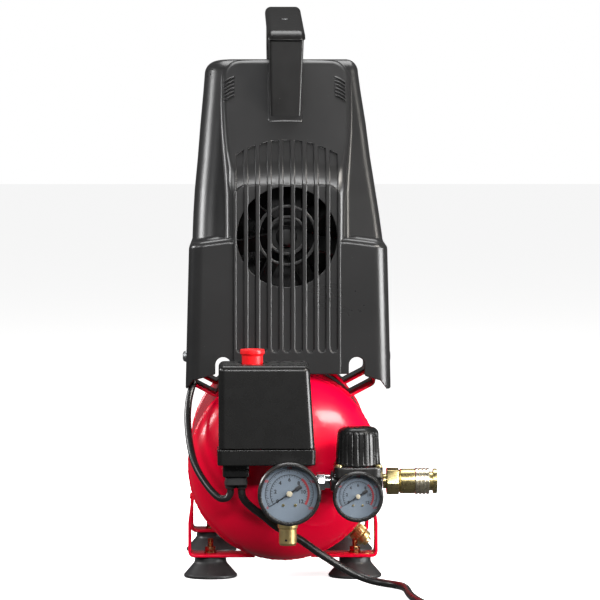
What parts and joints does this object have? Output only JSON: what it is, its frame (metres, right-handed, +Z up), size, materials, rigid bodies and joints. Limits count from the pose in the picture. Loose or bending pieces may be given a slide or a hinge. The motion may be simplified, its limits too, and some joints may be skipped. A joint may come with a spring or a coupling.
{
  "type": "air compressor",
  "caption": "Oil-free piston air compressor: tank on suction feet, motor and pump under a shroud with a carrying handle, pressure switch, regulator, gauges and quick coupler.",
  "frame": {"origin": "centre of the machine's outline at floor level, under the suction feet, the loose mains cord left out", "axes": "+Z up, -Y toward the front with the gauges and the pressure switch, +X toward the quick coupler, so the tank lies along Y"},
  "size_m": [0.2169, 0.6657, 0.4954],
  "materials": {
    "red_paint": "glossy red enamel",
    "red_plastic": "moulded red plastic",
    "shroud_plastic": "fine-grained charcoal plastic",
    "switch_plastic": "satin black plastic",
    "fan_plastic": "moulded dark plastic",
    "black_metal": "black coated metal",
    "rubber": "black rubber",
    "cord_rubber": "smooth black cord sheath",
    "brass": "bright machined brass",
    "chrome": "bright plated steel",
    "steel": "zinc-plated steel",
    "cast_aluminium": "die-cast aluminium",
    "winding": "copper",
    "needle_ink": "black painted pointer",
    "lens": "clear window"
  },
  "bodies": {
    "machine": {"tank_barrel": "red_paint", "tank_front_head": "red_paint", "tank_rear_head": "red_paint", "foot_bracket_front_left": "red_paint", "foot_bracket_front_right": "red_paint", "foot_bracket_rear_left": "red_paint", "foot_bracket_rear_right": "red_paint", "suction_foot_front_left": "rubber", "suction_foot_front_right": "rubber", "suction_foot_rear_left": "rubber", "suction_foot_rear_right": "rubber", "saddle_front": "red_paint", "saddle_rear": "red_paint", "motor_base": "steel", "motor_housing": "black_metal", "motor_stator": "winding", "front_bearing": "steel", "rear_bearing": "steel", "crankcase": "cast_aluminium", "pump_cylinder": "cast_aluminium", "cylinder_head": "cast_aluminium", "air_filter": "fan_plastic", "discharge_tube": "winding", "check_valve": "brass", "capacitor": "cast_aluminium", "shroud": "shroud_plastic", "handle_frame": "shroud_plastic", "handle_cover": "shroud_plastic", "switch_base": "switch_plastic", "switch_cover": "switch_plastic", "cable_gland": "rubber", "manifold": "black_metal", "tank_nipple": "steel", "safety_valve": "brass", "outlet_nipple": "chrome", "regulator_body": "black_metal", "coupler_body": "brass", "tank_gauge_case": "black_metal", "tank_gauge_lens": "lens", "outlet_gauge_case": "black_metal", "outlet_gauge_lens": "lens", "drain_valve": "brass", "motor_lead": "cord_rubber", "mains_cord": "cord_rubber", "mains_cord_coil": "cord_rubber", "mains_cord_tail": "cord_rubber", "mains_plug": "cord_rubber"},
    "rotor": {"rotor_core": "steel", "motor_shaft": "steel", "cooling_fan": "fan_plastic", "crank": "steel"},
    "piston": {"piston_and_rod": "cast_aluminium"},
    "power_knob": {"switch_knob": "red_plastic"},
    "adjuster": {"regulator_spindle": "steel"},
    "adjuster_knob": {"regulator_knob": "switch_plastic"},
    "sleeve": {"coupler_sleeve": "brass"},
    "tank_needle": {"tank_gauge_needle": "needle_ink"},
    "outlet_needle": {"outlet_gauge_needle": "needle_ink"},
    "drain_screw": {"drain_knob": "black_metal"}
  },
  "joints": [
    {"name": "rotor_spin", "type": "hinge", "parent": "machine", "child": "rotor", "pos_m": [-0.0183, 0.03355, 0.2925], "axis": [0, 1, 0], "continuous": true},
    {"name": "piston_stroke", "type": "slide", "parent": "machine", "child": "piston", "axis": [0, 0, 1], "range_m": [-0.022, 0]},
    {"name": "power_knob_press", "type": "slide", "parent": "machine", "child": "power_knob", "axis": [0, 0, 1], "range_m": [-0.005, 0]},
    {"name": "pressure_adjust", "type": "hinge", "parent": "machine", "child": "adjuster", "pos_m": [0.0402, -0.15745, 0.1], "axis": [0, 0, 1], "range_deg": [0, 1080]},
    {"name": "adjuster_knob_lift", "type": "slide", "parent": "adjuster", "child": "adjuster_knob", "axis": [0, 0, 1], "range_m": [0, 0.003]},
    {"name": "coupler_sleeve_slide", "type": "slide", "parent": "machine", "child": "sleeve", "axis": [1, 0, 0], "range_m": [0, 0.0026]},
    {"name": "tank_needle_turn", "type": "hinge", "parent": "machine", "child": "tank_needle", "pos_m": [-0.0177, -0.195, 0.083], "axis": [0, 1, 0], "range_deg": [0, 247]},
    {"name": "outlet_needle_turn", "type": "hinge", "parent": "machine", "child": "outlet_needle", "pos_m": [0.039, -0.195, 0.0805], "axis": [0, 1, 0], "range_deg": [0, 247]},
    {"name": "drain_screw_turn", "type": "hinge", "parent": "machine", "child": "drain_screw", "pos_m": [-0.0213, -0.03845, 0.098], "axis": [0.7193, 0, -0.6947], "range_deg": [0, 540]}
  ]
}
